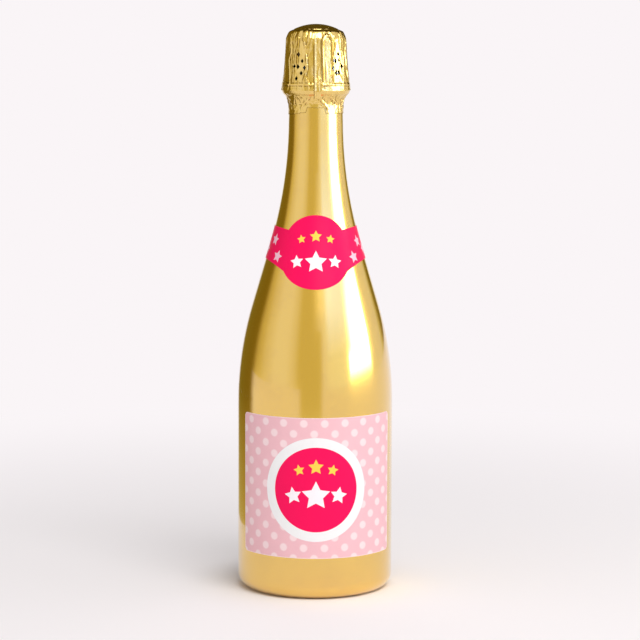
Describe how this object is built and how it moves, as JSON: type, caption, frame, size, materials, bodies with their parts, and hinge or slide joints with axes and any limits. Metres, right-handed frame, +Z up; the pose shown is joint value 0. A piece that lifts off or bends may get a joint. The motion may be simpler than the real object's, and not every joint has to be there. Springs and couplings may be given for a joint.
{
  "type": "champagne bottle",
  "caption": "Gold sparkling-wine bottle with punt, long neck, pink front and neck labels, wired mushroom cork under a vented foil hood with a tear strip.",
  "frame": {"origin": "centre of the base, in the plane it stands on", "axes": "+Z up along the bottle's axis; the labels face -Y"},
  "size_m": [0.0882, 0.0885, 0.3202],
  "materials": {
    "gold_lacquered_glass": "glass with a glossy gold lacquer outside",
    "printed_label": "satin coated paper, pale pink with dots",
    "printed_collar": "satin coated paper, hot pink",
    "gold_foil": "crinkled glossy gold foil",
    "pressed_cork": "granulated cork, dull",
    "natural_cork": "natural cork, dull",
    "tinplate": "gold lacquered tinplate",
    "cage_wire": "bright galvanised wire"
  },
  "bodies": {
    "bottle": {"glass_bottle": "gold_lacquered_glass", "front_label": "printed_label", "neck_label": "printed_collar", "foil_skirt": "gold_foil"},
    "cork": {"cork_body": "pressed_cork", "cork_disc_upper": "natural_cork", "cork_disc_lower": "natural_cork"},
    "cage": {"cage_plaque": "tinplate", "cage_frame": "cage_wire", "cage_belt": "cage_wire"},
    "hood": {"foil_hood": "gold_foil", "foil_top_disc": "gold_foil"},
    "tear_strip": {"tear_strip": "gold_foil"}
  },
  "joints": [
    {"name": "cork_pull", "type": "slide", "parent": "bottle", "child": "cork", "axis": [0, 0, 1], "range_m": [0, 0.05]},
    {"name": "cage_lift", "type": "slide", "parent": "cork", "child": "cage", "axis": [0, 0, 1], "range_m": [0, 0.045], "deforming": ["cage_frame", "cage_belt"]},
    {"name": "hood_lift", "type": "slide", "parent": "cage", "child": "hood", "axis": [0, 0, 1], "range_m": [0, 0.055]},
    {"name": "tear_strip_peel", "type": "hinge", "parent": "hood", "child": "tear_strip", "pos_m": [0.00079, -0.01733, 0.3122], "axis": [-0.999, -0.0454, 0], "range_deg": [0, 150]}
  ]
}
